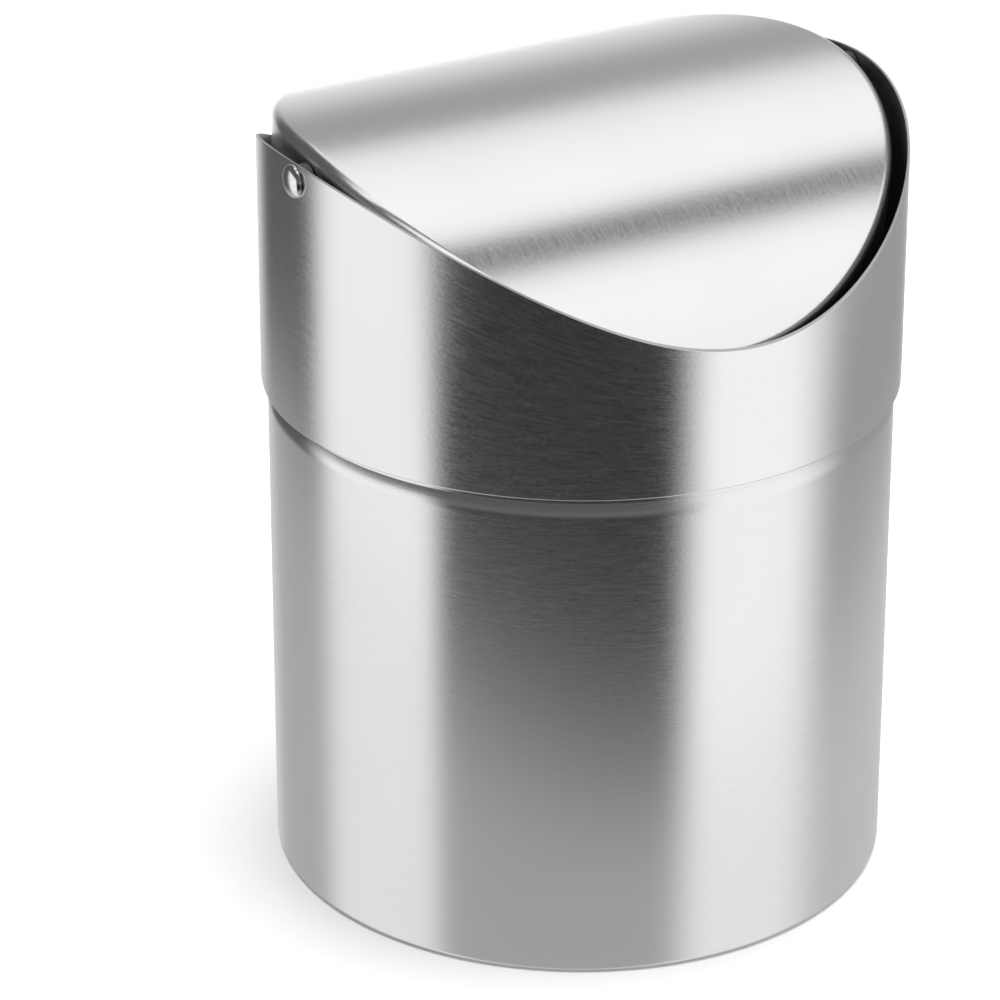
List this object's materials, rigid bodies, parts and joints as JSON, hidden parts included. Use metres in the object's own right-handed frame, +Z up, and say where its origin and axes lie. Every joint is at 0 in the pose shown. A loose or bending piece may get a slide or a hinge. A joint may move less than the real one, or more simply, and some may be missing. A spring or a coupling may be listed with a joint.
{
  "type": "swing-lid waste bin",
  "caption": "Small round desktop waste bin in brushed stainless steel: a plain can, a lift-off collar with a saddle-shaped rim, and an arched lid that swings on side rivets.",
  "frame": {"origin": "middle of the face that the bin stands on", "axes": "+Z up, the lid's pivot axis along X, -Y the front"},
  "size_m": [0.123, 0.12, 0.1516],
  "materials": {
    "brushed_can": "fine brushing that runs round the can",
    "brushed_collar": "fine brushing that runs round the collar",
    "brushed_lid": "fine brushing that runs from front to back",
    "base_steel": "plain mill finish",
    "ring_steel": "plain mill finish",
    "polished_rivet": "polished steel",
    "plain_washer": "plain steel",
    "black_nylon": "matte",
    "foam_pad": "matte black closed-cell foam"
  },
  "bodies": {
    "can": {"can_wall": "brushed_can", "base_plate": "base_steel", "base_pad": "foam_pad"},
    "collar": {"collar": "brushed_collar", "collar_ring": "ring_steel", "rivet_left": "polished_rivet", "rivet_right": "polished_rivet", "spacer_left": "black_nylon", "spacer_right": "black_nylon", "washer_left": "plain_washer", "washer_right": "plain_washer"},
    "lid": {"lid": "brushed_lid"}
  },
  "joints": [
    {"name": "collar_lift", "type": "slide", "parent": "can", "child": "collar", "axis": [0, 0, 1], "range_m": [0, 0.08]},
    {"name": "lid_swing", "type": "hinge", "parent": "collar", "child": "lid", "pos_m": [0, 0, 0.146], "axis": [1, 0, 0], "range_deg": [-83, 67]}
  ]
}
